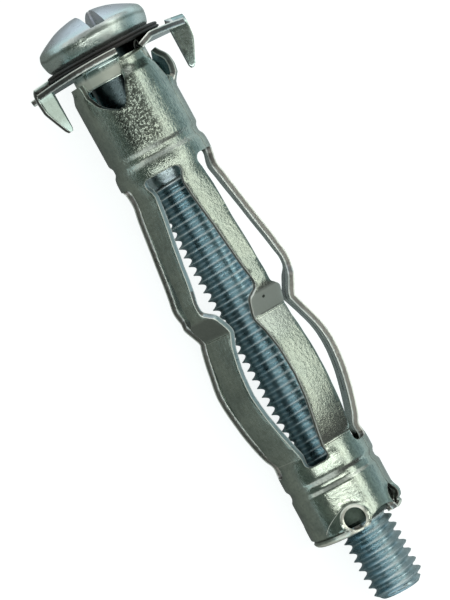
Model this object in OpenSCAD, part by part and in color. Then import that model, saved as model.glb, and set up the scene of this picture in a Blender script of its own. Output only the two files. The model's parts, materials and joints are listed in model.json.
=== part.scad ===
// Hollow wall anchor with its screw: a rolled sheet sleeve with five spreading legs, a stamped
// collar with two prongs, a threaded bush held in the far end, and a pan head machine screw.
// Each piece is drawn about its own axis, with z = 0 on the collar's face and +z towards the
// screw's tip, and lay() then puts it down on its collar rim and a leg, as it comes to rest.
// Angles about the axis are counted from the uppermost leg.

/* [Sleeve] */
// Length from the collar's face to the folded end
sleeve_len = 37.5; // [36:0.5:39]
// Outside diameter of the rolled barrel
barrel_d = 6.95; // [6.8:0.05:7.3]
// Sheet thickness of the sleeve
sheet = 0.44; // [0.38:0.01:0.48]
// Where the slots between the legs begin
slot_start = 9.0; // [8.8:0.1:9.2]
// Length of the lower barrel, from the slots to the folded end
foot_len = 5.6; // [5.4:0.1:5.8]
// Diameter across the legs at their widest
leg_spread = 9.3; // [8.6:0.1:9.6]
// Diameter across the crease that lets the legs fold
crease_d = 7.2; // [7:0.1:7.5]
// Width of a leg where it springs from the band
leg_root_w = 1.76; // [1.6:0.05:1.9]
// Width of a leg at its narrowest, above the crease
leg_waist_w = 1.14; // [1:0.05:1.3]
// Width of the pad at the crease
leg_pad_w = 2.5; // [2.3:0.05:2.6]
// Width of a leg at the middle of its lower bow
leg_bow_w = 2.12; // [2:0.05:2.3]
// Depth of the two rolled grooves
groove_depth = 0.15; // [0.1:0.01:0.2]
// Diameter of the relief holes beside the folded tabs
relief_d = 1.6; // [1.3:0.1:1.7]

/* [Collar] */
// Diameter of the collar
collar_d = 12.7; // [12.2:0.1:13.2]
// Thickness of the collar
collar_t = 0.44; // [0.4:0.02:0.5]
// Outside diameter of the drawn neck
neck_d = 5.6; // [5.4:0.1:5.7]
// Length of the drawn neck, from the collar's face
neck_len = 1.75; // [1.6:0.05:1.9]
// Reach of the two prongs, from the collar's face
prong_reach = 3.45; // [3:0.05:4]
// Width of a prong at its root
prong_w = 1.35; // [1.2:0.05:1.4]
// Width of the two notches over the straps
notch_w = 1.6; // [1.4:0.05:1.8]

/* [Screw] */
// Thread diameter
thread_d = 4.0; // [3.9:0.05:4.1]
// Length under the head
screw_len = 43.3; // [42:0.5:45]
// Length of the plain shank under the head
shank_len = 10.1; // [9:0.1:12]
// Diameter of the plain shank
shank_d = 3.8; // [3.5:0.05:3.9]
// Pitch of the thread
pitch = 0.7; // [0.6:0.05:0.8]
// Diameter of the pan head
head_d = 8.1; // [7.8:0.1:8.4]
// Height of the pan head
head_h = 2.8; // [2.6:0.1:3]
// Width of the driver slot
slot_w = 1.15; // [1:0.05:1.3]
// Depth of the driver slot
slot_depth = 1.35; // [1.1:0.05:1.5]

/* [Washer and bush] */
// Outside diameter of the fibre washer
washer_d = 8.75; // [8.5:0.05:9]
// Thickness of the fibre washer
washer_t = 0.5; // [0.4:0.05:0.6]
// Length of the threaded bush
bush_len = 3.05; // [2.8:0.05:3.1]

/* [Hidden] */
$fn = 48;
eps = 0.01;

legs = 5;
leg_step = 360 / legs;
barrel_r = barrel_d / 2;
slot_end = sleeve_len - foot_len;
groove_w = 0.78;          // width of a rolled groove
ramp = 0.1;               // length of a groove's slanting side
upper_groove = 7.1;       // start of the groove above the legs
band_r = barrel_r + 0.08; // the band between the upper groove and the slots
lower_groove = slot_end + 1.1;
tab_t = sheet;
wall_end = sleeve_len - tab_t - 0.09;  // where the wall meets the folded tabs

// A leg's profile: root bend, first peak, crease, lower bow, lower bend
leg_len = slot_end - slot_start;
root_bend = slot_start + 1.35;
peak_at = slot_start + 0.402 * leg_len;
crease_at = slot_start + 0.522 * leg_len;
bow_at = slot_start + 0.707 * leg_len;
lower_bend = slot_end - 0.85;
leg_bend_r = barrel_r - 0.17;
leg_r = leg_spread / 2;
crease_r = crease_d / 2;

// The straps and tongues at the sleeve's top
strap_at = 3;             // direction of the strap's middle
strap_top = 0.68;         // end of a strap below the collar's face
strap_w = 18.1;           // half of the angle that a strap's end covers
tongue_top = 1.12;
window_tip = 3.8;         // lowest point of a window
neck_r = neck_d / 2;
strap_r = neck_r + sheet; // a strap lies on the neck here
crimp_at = 1.42;          // below this a strap widens out to the barrel
crimp_end = 2.1;

tip_r = thread_d / 2;
thread_deep = 0.58 * pitch;
bush_gap = 0.02;          // the bush in the barrel
thread_gap = 0.03;        // the screw in the bush
tip_chamfer = 0.6;
under_head = -washer_t;
screw_end = under_head + screw_len;

// How the anchor lies: on both corners of the collar's lower notch and on one leg's lower bow
collar_r = collar_d / 2;
notch_turn = -28;         // the way a notch runs out to the rim
notch_side = strap_r * sin(strap_at - notch_turn);
notch_from = asin((notch_side - notch_w / 2) / collar_r);
notch_to = asin((notch_side + notch_w / 2) / collar_r);
lie_roll = -notch_turn - (notch_from + notch_to) / 2;
rim_rest_r = collar_r * cos((notch_to - notch_from) / 2);
low_leg = leg_step / 2 - lie_roll - asin(leg_bow_w / leg_spread);
bow_r = leg_r - 0.07;
leg_rest_r = bow_r * cos(low_leg);
lie_tilt = atan((rim_rest_r - leg_rest_r) / bow_at);
lie_height = rim_rest_r * cos(lie_tilt) + collar_t * sin(lie_tilt);
head_top = under_head - head_h;
lie_back = (head_top + screw_end) / 2 * cos(lie_tilt);

module lay() {
  translate([-lie_back, 0, lie_height])
    rotate([0, 90 + lie_tilt, 0])
      rotate(-lie_roll)
        children();
}

// Turns a child drawn along +x so that it points the given angle away from the uppermost leg
module at(angle) {
  rotate(180 - angle) children();
}

// Points of an arc by its centre, radius and two angles
function arc(cx, cy, r, a0, a1, n) =
  [for (i = [0 : n]) let (a = a0 + (a1 - a0) * i / n) [cx + r * cos(a), cy + r * sin(a)]];

// A wall's inner side: each point of its outer side moved in, square to the path
function unit(v) = v / norm(v);
function inward(p, t) =
  [for (i = [0 : len(p) - 1])
    let (a = p[max(i - 1, 0)], b = p[min(i + 1, len(p) - 1)], d = unit(b - a))
      p[i] + t * [-d[1], d[0]]];

// A sheet wall turned about the axis, from the (radius, height) points of its outer side
module turned_wall(p, t) {
  rotate_extrude()
    polygon(concat(p, [for (i = [len(p) - 1 : -1 : 0]) inward(p, t)[i]]));
}

// A leg bows out along the arc through the crease, its widest point and the lower bend
bow_n = 12;
function bow(i) =
  let (z = crease_at + 0.25 + (lower_bend - 0.25 - crease_at) * i / bow_n,
       up = z < bow_at,
       k = up ? (bow_at - z) / (bow_at - crease_at) : (z - bow_at) / (lower_bend - bow_at),
       r_end = up ? crease_r : leg_bend_r)
    [bow_r - (bow_r - r_end) * pow(k, 1.7), z];

function groove(z, r) =
  [[r, z], [r - groove_depth, z + ramp], [r - groove_depth, z + groove_w - ramp], [r, z + groove_w]];

function leg_profile() = concat(
  [[band_r, slot_start - 0.25], [band_r - 0.02, slot_start + 0.25], [leg_bend_r, root_bend - 0.15],
   [leg_bend_r + 0.01, root_bend + 0.1]],
  [[leg_r - 0.16, peak_at - 0.8], [leg_r - 0.03, peak_at - 0.2], [leg_r, peak_at + 0.2],
   [leg_r - 0.05, peak_at + 0.65], [leg_r - 0.2, peak_at + 1.05]],
  [[crease_r + 0.12, crease_at - 0.3], [crease_r, crease_at]],
  [for (i = [0 : bow_n]) bow(i)],
  [[leg_bend_r + 0.03, lower_bend + 0.12], [barrel_r - 0.02, slot_end - 0.1],
   [barrel_r, slot_end + 0.3]]);

function upper_profile() = concat(
  [[strap_r, strap_top], [strap_r, crimp_at], [barrel_r, crimp_end]],
  groove(upper_groove, barrel_r),
  [[band_r, upper_groove + groove_w + 0.45], [band_r, slot_start - 0.25]]);

function lower_profile() = concat(
  [[barrel_r, slot_end + 0.3]],
  groove(lower_groove, barrel_r),
  [[barrel_r, wall_end]]);

// Half of a leg's outline, from the band to the lower barrel, as (half width, height)
half_gap = (barrel_r + 0.1) * sin(leg_step / 2);
slot_corner = 0.48;
function leg_side() = concat(
  [[half_gap, slot_start - 0.3], [half_gap, slot_start - 0.05]],
  arc(leg_root_w * 0.4 + slot_corner, slot_start + slot_corner, slot_corner, 270, 180, 5),
  [[leg_root_w * 0.4 + 0.03, slot_start + 0.65], [leg_root_w / 2 - 0.04, slot_start + 0.98],
   [leg_root_w / 2, slot_start + 1.3]],
  [[leg_root_w / 2, root_bend + 1.1], [leg_waist_w / 2 + 0.1, peak_at - 2], [leg_waist_w / 2, peak_at + 0.1],
   [leg_waist_w / 2, peak_at + 0.6]],
  arc(leg_waist_w / 2 + 0.4, peak_at + 0.72, 0.4, 180, 125, 4),
  arc(leg_pad_w / 2 - 0.45, peak_at + 1.62, 0.45, 65, 0, 4),
  [[leg_pad_w / 2, crease_at], [leg_bow_w / 2 + 0.03, bow_at - 2], [leg_bow_w / 2, bow_at + 0.4],
   [leg_bow_w / 2 + 0.02, bow_at + 2], [leg_bow_w / 2 + 0.1, lower_bend - 0.2]],
  [[leg_bow_w / 2 + 0.1, slot_end - 0.45]],
  arc(leg_bow_w / 2 + 0.55, slot_end - 0.45, 0.45, 180, 90, 5),
  [[half_gap, slot_end + 0.05], [half_gap, slot_end + 0.35]]);

module leg_blank() {
  side = leg_side();
  n = len(side);
  rotate([90, 0, 90])
    linear_extrude(leg_r + 2)
      polygon(concat(side, [for (i = [n - 1 : -1 : 0]) [-side[i][0], side[i][1]]]));
}

// Window edges in the rolled sheet, as (angle from the strap's middle, height)
strap_edge = [[strap_w, 0], [strap_w, crimp_at - 0.06], [23, 1.64], [26, 2.3], [31.5, 3], [36.5, 3.5],
              [40.5, window_tip]];
near_tongue = [[42, window_tip - 0.02], [46, 3.35], [50, 2.6], [55, 1.9], [60, tongue_top], [61, 0]];
far_tongue = [[45, window_tip - 0.02], [57, 3.35], [71, 2.63], [79, 1.97], [86, tongue_top], [88, 0]];

// Cuts a stretch of a window, straight through the sheet in the direction given
module window_cut(middle, edges) {
  rotate([90, 0, 90])
    linear_extrude(barrel_r + 1)
      polygon([for (e = edges) [(barrel_r + 0.02) * sin(e[0] - middle), e[1]]]);
}

module window(side, tongue) {
  lap = [38.5, 42.5]; // the two cuts of one window overlap between these
  top = -0.5;
  mirror([0, side > 0 ? 0 : 1, 0]) {
    rotate(29) window_cut(29, concat([[strap_w, top]], strap_edge,
      [[lap[1], window_tip - 0.25], [lap[1], top]]));
    rotate(66) window_cut(66, concat([[lap[0], top], [lap[0], window_tip - 0.35]], tongue,
      [[tongue[len(tongue) - 1][0], top]]));
  }
}

module relief_hole(z) {
  translate([0, 0, z]) rotate([0, 90, 0]) cylinder(d = relief_d, h = barrel_r + 1);
}

// The two tabs folded in under the bush
tab_from = 44;            // direction of a relief hole, where a tab begins
tab_span = 111;           // angle that a tab covers
tab_reach = 2.35;         // inner radius of a tab
relief_at = sleeve_len - 1.02;
relief_turns = [-29, 42]; // directions of the relief holes
arch_turns = [-16, 34];   // directions of an arch's ends
module tab() {
  translate([0, 0, sleeve_len - tab_t])
    difference() {
      cylinder(r = barrel_r - 0.09, h = tab_t);
      translate([0, 0, -1]) cylinder(r = tab_reach, h = tab_t + 2);
      at(tab_from) translate([-10, 0, -1]) cube([20, 10, tab_t + 2]);
      at(tab_from + tab_span) translate([-10, -10, -1]) cube([20, 10, tab_t + 2]);
    }
}

// The wall's last turn, stepped in where the tabs are folded
module wall_foot() {
  translate([0, 0, wall_end - eps])
    difference() {
      cylinder(r = barrel_r - 0.13, h = sleeve_len - tab_t - wall_end + 2 * eps);
      translate([0, 0, -1]) cylinder(r = barrel_r - sheet, h = 3);
    }
}

// An arch cut in the wall's edge between two tabs
module arch_cut(from, to) {
  middle = (from + to) / 2;
  reach = barrel_r * sin((to - from) / 2);
  rise = 0.75;
  r = (reach * reach + rise * rise) / (2 * rise);
  at(middle)
    translate([0, 0, sleeve_len - rise + r])
      rotate([0, 90, 0])
        cylinder(r = r, h = barrel_r + 1);
}

module sleeve_blank() {
  difference() {
    union() {
      turned_wall(upper_profile(), sheet);
      intersection() {
        turned_wall(leg_profile(), sheet);
        for (i = [0 : legs - 1]) at(i * leg_step) leg_blank();
      }
      turned_wall(lower_profile(), sheet);
      wall_foot();
      tab();
      rotate(180) tab();
    }
    for (turn = [0, 180]) {
      at(strap_at + turn) {
        window(-1, near_tongue);
        window(1, far_tongue);
      }
      arch_cut(turn + arch_turns[0], turn + arch_turns[1]);
      for (hole = relief_turns) at(hole + turn) relief_hole(relief_at);
    }
  }
}

module sleeve() {
  color("#a9ad9c") lay() sleeve_blank();
}

// The collar: a drawn neck, a flat rim, two notches, and two prongs bent down out of the rim
bend_r = strap_top - collar_t; // the neck's root ends where the straps begin
bore_round = 0.6;
neck_bore = neck_r - collar_t;
module collar_section() {
  difference() {
    union() {
      square([collar_r, collar_t]);
      square([neck_r, neck_len]);
      translate([neck_r, collar_t])
        difference() {
          square(bend_r);
          translate([bend_r, bend_r]) circle(bend_r);
        }
    }
    translate([0, -1]) square([neck_bore, neck_len + 2]);
    translate([neck_bore, 0])
      difference() {
        translate([-eps, -eps]) square(bore_round);
        translate([bore_round, bore_round]) circle(bore_round);
      }
  }
}

prong_at = [-90, 74];     // direction of each prong's blade
prong_in = [4.85, 4.95];  // where its inner edge stands
slit_span = 30;           // the rim that a prong was bent out of

// The gap that a bent-down prong leaves in the rim
module prong_slit(from, inner) {
  at(from)
    linear_extrude(4, center = true)
      polygon(concat(arc(0, 0, inner - 0.05, 0, slit_span, 5),
        [[14 * cos(slit_span), 14 * sin(slit_span)], [14, 0]]));
}

// A prong's blade stands square to the rim and carries on down from the slit's edge
module prong(inner) {
  w = prong_w;
  z = prong_reach;
  c = 0.35; // rounding of the bend
  difference() {
    translate([inner, collar_t, 0])
      rotate([90, 0, 0])
        linear_extrude(collar_t + 0.05)
          polygon([[0, 0], [w, 0], [w, 0.35], [0.93 * w, 0.42 * z], [0.52 * w, 0.78 * z],
            [0.3 * w, z - 0.1], [0.2 * w, z], [0.08 * w, z], [0, z - 0.12]]);
    translate([inner - 1, 0, 0])
      rotate([90, 0, 90])
        linear_extrude(w + 2)
          translate([collar_t - c, 0])
            difference() {
              translate([0, -eps]) square([c + eps, c + eps]);
              translate([0, c]) circle(c);
            }
  }
}

module collar_blank() {
  difference() {
    rotate_extrude() collar_section();
    for (turn = [0, 180])
      at(turn + notch_turn)
        translate([neck_r - 0.9, -notch_side - notch_w / 2, -1])
          cube([collar_r, notch_w, strap_top + 1]);
    prong_slit(prong_at[0], prong_in[0]);
    prong_slit(prong_at[1], prong_in[1]);
  }
  for (i = [0, 1]) at(prong_at[i]) prong(prong_in[i]);
}

module collar() {
  color("#8f9488") lay() collar_blank();
}

module threaded_bush() {
  top = sleeve_len - tab_t - bush_len;
  r = barrel_r - sheet - bush_gap;
  c = 0.3;
  color("#7d8487")
    lay()
      difference() {
        rotate_extrude()
          polygon([[0, top], [r - c, top], [r, top + c], [r, top + bush_len - c],
            [r - c, top + bush_len], [0, top + bush_len]]);
        translate([0, 0, top - 1]) cylinder(r = tip_r + thread_gap, h = bush_len + 2);
        translate([0, 0, top + bush_len - 0.25])
          cylinder(r1 = tip_r, r2 = tip_r + 0.3, h = 0.25 + eps);
      }
}

module washer() {
  r = washer_d / 2;
  soft = 0.12;
  color("#2a2723")
    lay()
      difference() {
        rotate_extrude()
          polygon([[0, 0], [r - soft, 0], [r, -soft], [r - 0.08, -0.5 * washer_t],
            [r - 0.4, -washer_t], [0, -washer_t]]);
        translate([0, 0, -washer_t - 1]) cylinder(r = tip_r + 0.1, h = washer_t + 2);
      }
}

module head_section() {
  r = head_d / 2;
  h = head_h;
  // Bulging side below, shallow dome above
  polygon(concat([[0, 0], [r - 0.25, 0], [r - 0.1, -0.14 * h], [r, -0.34 * h], [r - 0.04, -0.5 * h],
    [r - 0.22, -0.61 * h]],
    [[0.72 * r, -0.8 * h], [0.5 * r, -0.93 * h], [0.25 * r, -0.99 * h], [0, -h]]));
}

module driver_recess() {
  cross_reach = 4.4;
  cross_w = 0.95;
  translate([0, 0, -head_h - 1])
    linear_extrude(1 + slot_depth)
      square([head_d + 2, slot_w], center = true);
  translate([0, 0, -head_h - 1])
    linear_extrude(1 + slot_depth + 0.3)
      union() {
        square([cross_reach, cross_w], center = true);
        square([cross_w, cross_reach], center = true);
      }
}

// The thread's section: a row of ridges with flat crests, from the shank to the point
module thread_section() {
  ridges = floor((screw_len - tip_chamfer - shank_len) / pitch);
  root_r = tip_r - thread_deep;
  polygon(concat([[0, -eps], [shank_d / 2, -eps], [shank_d / 2, shank_len - 0.3], [root_r, shank_len]],
    [for (i = [0 : ridges - 1], p = [[0, 0.1], [1, 0.42], [1, 0.58], [0, 0.9]])
      [root_r + p[0] * thread_deep, shank_len + (i + p[1]) * pitch]],
    [[tip_r - tip_chamfer, screw_len], [0, screw_len]]));
}

slot_turn = -17;          // the way the driver slot points
module screw() {
  color("#9fa8ac")
    lay()
      translate([0, 0, under_head]) {
        at(slot_turn)
          difference() {
            rotate_extrude() head_section();
            driver_recess();
          }
        rotate_extrude() thread_section();
      }
}

sleeve();
collar();
threaded_bush();
washer();
screw();
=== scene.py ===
import json
import math

import bmesh
import bpy
import numpy as np
from mathutils import Matrix, Vector
from mathutils.bvhtree import BVHTree
from mathutils.geometry import delaunay_2d_cdt
from mathutils.kdtree import KDTree


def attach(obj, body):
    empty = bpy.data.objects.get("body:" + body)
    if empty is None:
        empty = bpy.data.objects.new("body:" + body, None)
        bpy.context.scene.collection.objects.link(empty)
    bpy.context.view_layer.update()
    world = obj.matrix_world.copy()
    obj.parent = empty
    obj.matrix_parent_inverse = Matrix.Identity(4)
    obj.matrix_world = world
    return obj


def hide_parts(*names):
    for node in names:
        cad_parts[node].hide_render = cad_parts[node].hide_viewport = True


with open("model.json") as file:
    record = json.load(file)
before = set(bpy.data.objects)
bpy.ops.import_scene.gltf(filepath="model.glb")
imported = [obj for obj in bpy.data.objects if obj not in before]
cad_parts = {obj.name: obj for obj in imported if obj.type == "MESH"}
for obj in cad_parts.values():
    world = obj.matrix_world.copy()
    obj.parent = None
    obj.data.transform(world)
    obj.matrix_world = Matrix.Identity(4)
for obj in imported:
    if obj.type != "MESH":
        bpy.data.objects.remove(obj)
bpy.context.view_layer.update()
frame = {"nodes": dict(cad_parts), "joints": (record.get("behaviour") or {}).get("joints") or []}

MM = 0.001

# -------- the anchor's own frame
# Pieces are made in millimetres about the anchor's axis: z runs from the collar's face to the
# screw's tip and x points up. An angle is counted from the uppermost leg, as on the solids.
TURN = next(joint for joint in frame["joints"] if joint["name"] == "screw_turn")
TIPWARD = -Vector(TURN["axis"])
SIDE = Vector((0.0, -1.0, 0.0))
UP = SIDE.cross(TIPWARD)
ROLL = 12.629


def placed(spot, x, y, z):
    """A placement from a spot and three directions."""
    return Matrix.Translation(spot) @ Matrix((x, y, z)).transposed().to_4x4()


TO_ROW = placed(TURN["pos_m"], UP, SIDE, TIPWARD) @ Matrix.Scale(MM, 4)

# Sleeve
BARREL_R = 3.475
SHEET = 0.44
STRAP_R = 3.24
SLOT_START = 9.0
SLOT_END = 31.9
LEG_R = 4.65
CREASE_R = 3.6
CREASE_AT = 20.95
BEND_R = 3.305
BAND_R = 3.555
LEGS = 5
LEG_STEP = 360 / LEGS
STRAP_AT = 3.0
SLEEVE_END = 37.5
HOLE_AT = SLEEVE_END - 1.02
HOLE_R = 0.8
HOLE_TURNS = (-29, 42)
SEAM_AT = 36.0
# the heights of the painted highlight lines along the creases
CREASE_GLINT_LINES = (21.05, 31.0)

# Collar, screw and washer
COLLAR_R = 6.35
NECK_BORE = 2.36
NECK_END = 1.75
PRONG_AT = (-90.0, 74.0)
PRONG_IN = (4.85, 4.95)
PRONG_REACH = 3.45
THREAD_R = 2.0
PITCH = 0.7
SHANK_END = 9.6
UNDER_HEAD = -0.5
SCREW_END = 42.8
HEAD_R = 4.05
HEAD_H = 2.8
SLOT_TURN = -17.0
SLOT_MOUTH = -38.0
LEAN = 0.0124
LEAN_FROM = 8


def polar(r, angle, z):
    """Points of the anchor's frame from radii, angles in degrees and heights."""
    a = np.radians(np.asarray(angle, float) + ROLL)
    r = np.asarray(r, float)
    return np.stack([r * np.cos(a), -r * np.sin(a), np.broadcast_to(z, a.shape)], axis=-1)


def softened(points, soft, step=0.02):
    """A line through (t, value) points with its corners rounded off, as a function of t."""
    points = np.array(points, float)
    t = np.arange(points[0, 0] - 1, points[-1, 0] + 1, step)
    y = np.interp(t, points[:, 0], points[:, 1])
    reach = int(3 * soft / step)
    kernel = np.exp(-0.5 * (np.arange(-reach, reach + 1) * step / soft) ** 2)
    y = np.convolve(np.pad(y, reach, mode="edge"), kernel / kernel.sum(), mode="valid")
    return lambda at: np.interp(at, t, y)


def bump(x, middle, half):
    """1 at the middle, falling smoothly to 0 at half to each side."""
    k = np.clip(np.abs(np.asarray(x, float) - middle) / half, 0, 1)
    return 0.5 + 0.5 * np.cos(np.pi * k)


# -------- sheet metal
def split_loop(loop, spacing):
    """A closed outline with its long segments split up."""
    points = []
    for a, b in zip(loop, np.roll(loop, -1, axis=0)):
        n = max(1, math.ceil(np.linalg.norm(b - a) / spacing))
        points.extend(a + (b - a) * i / n for i in range(n))
    return np.array(points)


def inside(points, loops):
    """Whether each point lies in the region that the outlines bound."""
    odd = np.zeros(len(points), bool)
    x, y = points[:, 0], points[:, 1]
    for loop in loops:
        for (x0, y0), (x1, y1) in zip(loop, np.roll(loop, -1, axis=0)):
            if y0 == y1:
                continue
            crossing = (y0 > y) != (y1 > y)
            odd ^= crossing & (x < x0 + (y - y0) / (y1 - y0) * (x1 - x0))
    return odd


def cut_blank(loops, rows, spacing, extra=()):
    """Triangles that fill the outlines, with inner points on the given rows and the extra ones."""
    loops = [split_loop(np.array(loop, float), spacing) for loop in loops]
    rim = np.concatenate(loops)
    tree = KDTree(len(rim))
    for i, p in enumerate(rim):
        tree.insert((p[0], p[1], 0), i)
    tree.balance()
    low, high = rim.min(0), rim.max(0)
    columns = np.linspace(low[0], high[0], int((high[0] - low[0]) / spacing) + 1)[1:-1]
    grid = [(x, y) for y in rows for x in columns if low[1] < y < high[1]]
    for middle, near, rings in extra:
        grid = [p for p in grid if math.dist(p, middle) > near]
        grid += rings
    grid = np.array(grid)
    grid = grid[inside(grid, loops)]
    grid = np.array([p for p in grid if tree.find((p[0], p[1], 0))[2] > 0.35 * spacing])
    points = np.concatenate([rim, grid])
    edges, start = [], 0
    for loop in loops:
        n = len(loop)
        edges += [(start + i, start + (i + 1) % n) for i in range(n)]
        start += n
    verts, _, faces, *_ = delaunay_2d_cdt([Vector(p) for p in points], edges, [], 0, 1e-7)
    verts = np.array(verts)
    faces = np.array(faces)
    return verts, faces[inside(verts[faces].mean(axis=1), loops)]


def rows_between(low, high, wide, fine, places):
    """Heights of the rows: wide apart, and fine near the given places."""
    rows, t = [], low
    while t < high:
        rows.append(t)
        near = min(abs(t - middle) - half for middle, half in places)
        t += fine + (wide - fine) * min(1, max(0, near) / 0.5)
    return rows


# -------- making pieces
def new_mesh(name, verts, faces):
    mesh = bpy.data.meshes.new(name)
    mesh.from_pydata([tuple(v) for v in verts], [], [tuple(int(i) for i in f) for f in faces])
    mesh.validate()
    return mesh


def new_object(name, mesh):
    piece = bpy.data.objects.new(name, mesh)
    bpy.context.scene.collection.objects.link(piece)
    return piece


def reworked(mesh, step):
    """Opens a mesh for editing, does the step to it and writes it back."""
    work = bmesh.new()
    work.from_mesh(mesh)
    step(work)
    work.to_mesh(mesh)
    work.free()


def weld(mesh, distance=1e-4):
    """Joins doubled points."""
    reworked(mesh, lambda work: bmesh.ops.remove_doubles(work, verts=work.verts, dist=distance))


def face_outwards(mesh):
    reworked(mesh, lambda work: bmesh.ops.recalc_face_normals(work, faces=work.faces))


def round_edges(piece, width, segments, angle):
    """A bevel on the edges that are sharper than the angle."""
    rounding = piece.modifiers.new("rounding", "BEVEL")
    rounding.width = width
    rounding.segments = segments
    rounding.limit_method = "ANGLE"
    rounding.angle_limit = math.radians(angle)


def applied(piece):
    """The piece's mesh with its modifiers worked in."""
    bpy.context.view_layer.update()
    mesh = bpy.data.meshes.new_from_object(piece.evaluated_get(bpy.context.evaluated_depsgraph_get()))
    piece.modifiers.clear()
    piece.data = mesh
    return mesh


def lathe(profile, segments):
    """A closed turned solid from (radius, height) points that start and end on the axis."""
    verts = [(0, 0, profile[0][1])]
    angles = np.arange(segments) * 2 * math.pi / segments
    for r, z in profile[1:-1]:
        verts += [(r * math.cos(a), r * math.sin(a), z) for a in angles]
    verts.append((0, 0, profile[-1][1]))
    rings = len(profile) - 2
    faces = []
    for i in range(segments):
        j = (i + 1) % segments
        faces.append((0, 1 + j, 1 + i))
        for k in range(rings - 1):
            a, b = 1 + k * segments, 1 + (k + 1) * segments
            faces.append((a + i, a + j, b + j, b + i))
        last = 1 + (rings - 1) * segments
        faces.append((last + i, last + j, len(verts) - 1))
    return verts, faces


def lean(mesh):
    """The screw stands a little askew in the sleeve: over to the right at its tip."""
    way = Vector(polar(1, NOTCH_TURN + 90, 0)) * LEAN
    for vert in mesh.vertices:
        vert.co += way * (vert.co.z - LEAN_FROM)


def place(piece, body, nodes, smooth=35):
    """Puts a finished piece in the row's frame, on its body, in place of its CAD nodes."""
    mesh = piece.data
    mesh.transform(TO_ROW)
    mesh.shade_smooth()
    mesh.set_sharp_from_angle(angle=math.radians(smooth))
    mesh.update()
    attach(piece, body)
    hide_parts(*nodes)
    return piece


# -------- materials
PER_DEGREE = math.radians(1) * BARREL_R
FLAT_MAP = 40.0
# near black, for the seam and the pit and for painted shade
SEAM_AND_SHADE_BLACK = (0.05, 0.06, 0.05)


def nodes_of(name):
    material = bpy.data.materials.new(name)
    material.use_nodes = True
    tree = material.node_tree
    return material, tree, tree.nodes["Principled BSDF"]


def feed(tree, node, inputs):
    """Links a node's inputs to sockets, and sets those that are given as plain values."""
    for key, value in inputs.items():
        if isinstance(value, bpy.types.NodeSocket):
            tree.links.new(value, node.inputs[key])
        else:
            node.inputs[key].default_value = value


def add(tree, kind, inputs=None, **settings):
    node = tree.nodes.new(kind)
    for key, value in settings.items():
        setattr(node, key, value)
    feed(tree, node, inputs or {})
    return node


def split(tree, vector):
    """The three numbers of a vector."""
    return add(tree, "ShaderNodeSeparateXYZ", {0: vector}).outputs


def coordinates(tree, kind):
    return add(tree, "ShaderNodeTexCoord").outputs[kind]


def anchor_mm(tree, stretch=(1, 1, 1)):
    """Object coordinates in millimetres about the anchor's axis."""
    origin, turn, _ = TO_ROW.decompose()
    scale = tuple(MM / s for s in stretch)
    return add(tree, "ShaderNodeMapping", {
        "Vector": coordinates(tree, "Object"), "Location": origin,
        "Rotation": turn.to_euler(), "Scale": scale,
    }, vector_type="TEXTURE").outputs["Vector"]


def flat_place(tree):
    """The place on the flat sheet, from the map that was made with the blank."""
    return add(tree, "ShaderNodeUVMap", uv_map="flat").outputs[0]


def wall_depth(tree):
    """0 at the drawn face of a sheet and 1 at its other face."""
    return add(tree, "ShaderNodeAttribute", attribute_name="depth").outputs["Fac"]


def noise(tree, spot, scale, detail=3, rough=0.5):
    return add(tree, "ShaderNodeTexNoise", {
        "Vector": spot, "Scale": scale, "Detail": detail, "Roughness": rough,
    }).outputs["Fac"]


def calc(tree, operation, *inputs):
    """A Math node."""
    return add(tree, "ShaderNodeMath", dict(enumerate(inputs)), operation=operation).outputs[0]


def plus(tree, a, b):
    return calc(tree, "ADD", a, b)


def times(tree, a, b):
    return calc(tree, "MULTIPLY", a, b)


def minus(tree, a, b):
    return calc(tree, "SUBTRACT", a, b)


def most(tree, a, b):
    return calc(tree, "MAXIMUM", a, b)


def ramp(tree, value, *stops, scale=None):
    """A colour or grey ramp from (place, colour) stops; scale brings the value into 0 to 1."""
    if scale is not None:
        value = times(tree, value, scale)
    node = add(tree, "ShaderNodeValToRGB", {"Fac": value})
    elements = node.color_ramp.elements
    while len(elements) < len(stops):
        elements.new(0.5)
    for element, (where, colour) in zip(elements, stops):
        element.position = where
        element.color = (*colour, 1) if isinstance(colour, tuple) else (colour, colour, colour, 1)
    return node.outputs["Color"]


def mixed(tree, factor, a, b, blend="MIX"):
    a, b = ((*tint, 1) if isinstance(tint, tuple) else tint for tint in (a, b))
    return add(tree, "ShaderNodeMix", {0: factor, 6: a, 7: b},
               data_type="RGBA", blend_type=blend).outputs[2]


def apart(tree, value, where):
    """How far the value is from a place."""
    return calc(tree, "ABSOLUTE", minus(tree, value, where))


def within(tree, value, where, half):
    """1 near a place along the value, 0 beyond the half width."""
    return calc(tree, "LESS_THAN", apart(tree, value, where), half)


def line_at(tree, value, where, half):
    """1 on a line at a place along the value, fading to 0 at its half width."""
    off = calc(tree, "DIVIDE", apart(tree, value, where), half)
    return minus(tree, 1.0, calc(tree, "MINIMUM", off, 1.0))


def far_from(tree, spot, middle):
    node = add(tree, "ShaderNodeVectorMath", {0: spot, 1: middle}, operation="DISTANCE")
    return node.outputs["Value"]


def off_axis(tree, x, y):
    """Distance from the anchor's axis."""
    return calc(tree, "SQRT", plus(tree, times(tree, x, x), times(tree, y, y)))


def duller(tree, shader, marks, least, at=1.0):
    """Makes the metal less of a mirror where the marks are."""
    feed(tree, shader, {"Metallic": ramp(tree, marks, (0.0, 1.0), (at, least))})


def embossed(tree, shader, height, strength, distance):
    """Links a height to the shader as relief, with its distance in millimetres."""
    relief = add(tree, "ShaderNodeBump", {
        "Height": height, "Strength": strength, "Distance": distance * MM,
    })
    feed(tree, shader, {"Normal": relief.outputs["Normal"]})


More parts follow.
